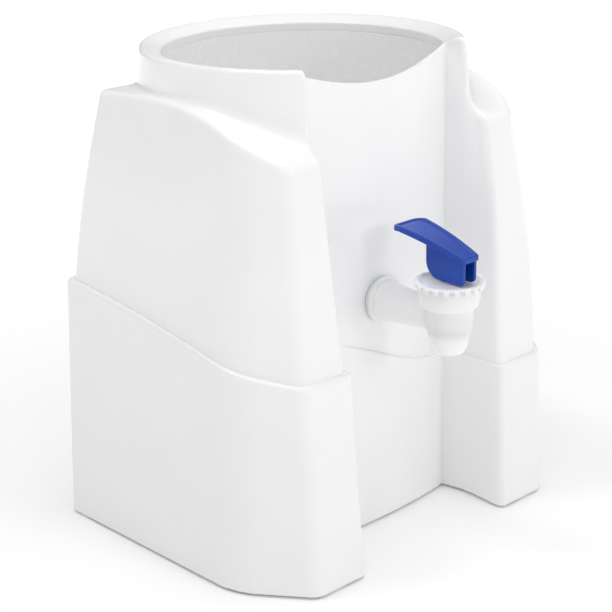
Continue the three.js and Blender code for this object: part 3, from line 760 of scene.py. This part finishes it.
def dress(obj, material, slot, body, *nodes):
    obj.data.materials.clear()
    obj.data.materials.append(material)
    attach(obj, body)
    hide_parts(*nodes)
    return obj


# ---------- the pieces ----------
def near_box(node, margin):
    """The node's box with some room round it, in the fields' own frame."""
    low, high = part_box(node)
    away = np.array((0, DRUM_Y, 0))
    return tuple(np.array(low) / MM - away - margin), tuple(np.array(high) / MM - away + margin)


def make(node, field, step, triangles, material, slot, body="root", even=False):
    """A fine piece in place of one CAD node, in the box where that node is."""
    low, high = near_box(node, 3 * step)
    obj = grown(f"{node}_fine", field, low, high, step, triangles, even)
    return dress(obj, material, slot, body, node)


def make_at(node, field, step, triangles, material, slot, body="root"):
    """A fine piece whose field stands on its own axis, put where the CAD node is."""
    low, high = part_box(node)
    base = np.array(((low.x + high.x) / 2, (low.y + high.y) / 2, low.z)) / MM - (0, DRUM_Y, 0)
    room = np.array((high - low)) / MM
    side = room[:2].max() / 2 + 3 * step
    obj = grown(
        f"{node}_fine", field, (-side, -side, -3 * step), (side, side, room[2] + 3 * step), step, triangles,
        shift=base,
    )
    return dress(obj, material, slot, body, node)


def about_tap(field):
    """A field written round the tap's own axis."""
    return lambda x, y, z: field(x, y - TAP_Y, z)


def about_pin(field):
    return lambda x, y, z: field(x, y - TAP_Y, z - PIN_Z)


make("upper_housing", housing_field, 1.25 * FINE, 240000, WHITE, "white_shell", even=True)
make("base_skirt", skirt_field, 1.4 * FINE, 170000, WHITE, "white_shell")
make("reservoir_tub", tub_field, 1.35 * FINE, 400000, TUB_LIGHTER_WHITE, "white_tub", even=True)
make("tap_body", tap_field, 0.6 * FINE, 90000, TAP_MILKY, "translucent_tap", even=True)
make("tap_collar", about_tap(collar_field), 0.38 * FINE, 80000, TAP_MILKY, "translucent_tap")
make("tap_lever", lever_field, 0.4 * FINE, 80000, LEVER_BLUE, "blue_lever", "lever", even=True)
make("valve_stem", about_tap(stem_field), 0.3 * FINE, 8000, TAP_MILKY, "translucent_tap", "stem")
make("valve_plug", about_tap(plug_field), 0.35 * FINE, 8000, SILICONE, "silicone", "plug")
make("bonnet_seal", about_tap(seal_field), 0.4 * FINE, 8000, SILICONE, "silicone")
make("lever_pin", about_pin(pin_field), 0.25, 3000, STEEL, "steel", "stem")
make("lock_nut", nut_field, 0.4 * FINE, 16000, TAP_MILKY, "translucent_tap")
make("front_washer", washer_field(14.8, 9.05, -71.85, -69.75), 0.35 * FINE, 8000, SILICONE, "silicone")
make("rear_washer", washer_field(14, 9.05, -62.9, -61), 0.35 * FINE, 8000, SILICONE, "silicone")
BASE_SCREW = screw_field(shank_r=1.7, head_r=3.3, head_h=2.5, length=17, pitch=1.6)
TUB_SCREW = screw_field(shank_r=1.4, head_r=3.0, head_h=2.0, length=7.6, pitch=1.2)
for corner in CORNERS:
    make_at(f"foot_{corner}", foot_field, 0.4 * FINE, 6000, RUBBER, "rubber_foot")
    make_at(f"base_screw_{corner}", BASE_SCREW, 0.25 * FINE, 9000, STEEL, "steel")
for tub_screw in TUB_SCREWS:
    make_at(tub_screw, TUB_SCREW, 0.22 * FINE, 6000, STEEL, "steel")

spring_low, spring_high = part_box("valve_spring")
spring = spring_mesh(
    "valve_spring_fine", TAP_Y, spring_low.z / MM, spring_high.z / MM, radius=5.6, wire=0.6, turns=6
)
dress(spring, STEEL, "steel", "root", "valve_spring")
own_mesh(spring)


# ---------- studio ----------
def studio_floor():
    """A white sweep with painted light: its emission grows with distance, standing in for a lit background.
    """
    data = bpy.data.meshes.new("studio_floor")
    half = 4.0
    corners = [(-half, -half, 0), (half, -half, 0), (half, half, 0), (-half, half, 0)]
    data.from_pydata(corners, [], [(0, 1, 2, 3)])
    floor = link("studio_floor", data)
    material, shader = node_material("pale_floor", (0.97, 0.97, 0.97), 0.9)
    tree = material.node_tree
    shade = ramp(tree, noise(tree, 3, 2, 0.5), (0.965, 0.965, 0.965), (0.975, 0.975, 0.975))
    tree.links.new(shade, shader.inputs["Base Color"])
    where = tree.nodes.new("ShaderNodeTexCoord")
    away = tree.nodes.new("ShaderNodeVectorMath")
    away.operation = "LENGTH"
    tree.links.new(where.outputs["Object"], away.inputs[0])
    # Painted light: the floor's emission is weak next to the object and strong far off, so the floor glows
    # though it is no lamp.
    painted_floor_glow = spread(tree, away.outputs["Value"], 0.09, 0.72, 0.3, 1.8)
    shader.inputs["Emission Color"].default_value = (1, 1, 1, 1)
    tree.links.new(painted_floor_glow, shader.inputs["Emission Strength"])
    data.materials.append(material)


def soft_light(name, toward, distance, size, power, aim=(0, 0, 0.2)):
    """An area light in the direction toward, seen from the point aim."""
    lamp = bpy.data.lights.new(name, "AREA")
    lamp.shape = "RECTANGLE"
    lamp.size, lamp.size_y = size
    lamp.energy = power
    obj = bpy.data.objects.new(name, lamp)
    bpy.context.scene.collection.objects.link(obj)
    direction = Vector(toward).normalized()
    obj.location = Vector(aim) + direction * distance
    obj.rotation_euler = direction.to_track_quat("Z", "Y").to_euler()
    return obj


def white_world(dim, bright):
    """Soft light from all round, brightest towards the front; the camera itself sees plain white."""
    world = bpy.data.worlds.new("studio")
    bpy.context.scene.world = world
    world.use_nodes = True
    tree = world.node_tree
    tree.nodes.clear()
    soft, plain = (tree.nodes.new("ShaderNodeBackground") for _ in range(2))
    soft.inputs["Color"].default_value = (1, 1, 1, 1)
    where = tree.nodes.new("ShaderNodeTexCoord")
    ahead = tree.nodes.new("ShaderNodeVectorMath")
    ahead.operation = "DOT_PRODUCT"
    ahead.inputs[1].default_value = Vector((0.35, -0.85, 0.4)).normalized()
    tree.links.new(where.outputs["Generated"], ahead.inputs[0])
    tree.links.new(spread(tree, ahead.outputs["Value"], dim, bright, -1, 1), soft.inputs["Strength"])
    plain.inputs["Color"].default_value = (1, 1, 1, 1)
    plain.inputs["Strength"].default_value = 1.0
    path = tree.nodes.new("ShaderNodeLightPath")
    mix = tree.nodes.new("ShaderNodeMixShader")
    out = tree.nodes.new("ShaderNodeOutputWorld")
    tree.links.new(path.outputs["Is Camera Ray"], mix.inputs["Fac"])
    tree.links.new(soft.outputs[0], mix.inputs[1])
    tree.links.new(plain.outputs[0], mix.inputs[2])
    tree.links.new(mix.outputs[0], out.inputs["Surface"])


def studio_camera(place, azimuth, pitch, roll, lens):
    """A camera whose azimuth turns from +Y towards +X, pitched down and rolled, in degrees."""
    a, e, r = (math.radians(v) for v in (azimuth, pitch, roll))
    ahead = Vector((math.sin(a) * math.cos(e), math.cos(a) * math.cos(e), -math.sin(e)))
    level = Vector((math.cos(a), -math.sin(a), 0))
    above = level.cross(ahead)
    right = level * math.cos(r) + above * math.sin(r)
    up = -level * math.sin(r) + above * math.cos(r)
    turn = Matrix((right, up, -ahead)).transposed().to_4x4()
    data = bpy.data.cameras.new("camera")
    data.lens = lens
    data.sensor_width = 36
    data.clip_start, data.clip_end = 0.05, 50
    camera = bpy.data.objects.new("camera", data)
    camera.matrix_world = Matrix.Translation(Vector(place)) @ turn
    bpy.context.scene.collection.objects.link(camera)
    bpy.context.scene.camera = camera


CAMERA_PLACE = (-0.7307, -0.7695 + DRUM_Y * MM, 0.5096)

studio_floor()
white_world(dim=0.34, bright=0.66)
soft_light("key", (0.12, -1, 0.33), distance=2.0, size=(0.35, 0.35), power=3.4)
soft_light("overhead", (-0.05, -0.1, 1), distance=2.2, size=(1.6, 1.6), power=16)
soft_light("spark", (-0.32, 0.22, 0.92), distance=1.5, size=(0.3, 0.3), power=3.5, aim=(0, 0, 0.3))
studio_camera(CAMERA_PLACE, azimuth=43.47, pitch=19.37, roll=-1.13, lens=96.8)
bpy.context.scene.view_settings.view_transform = "Standard"
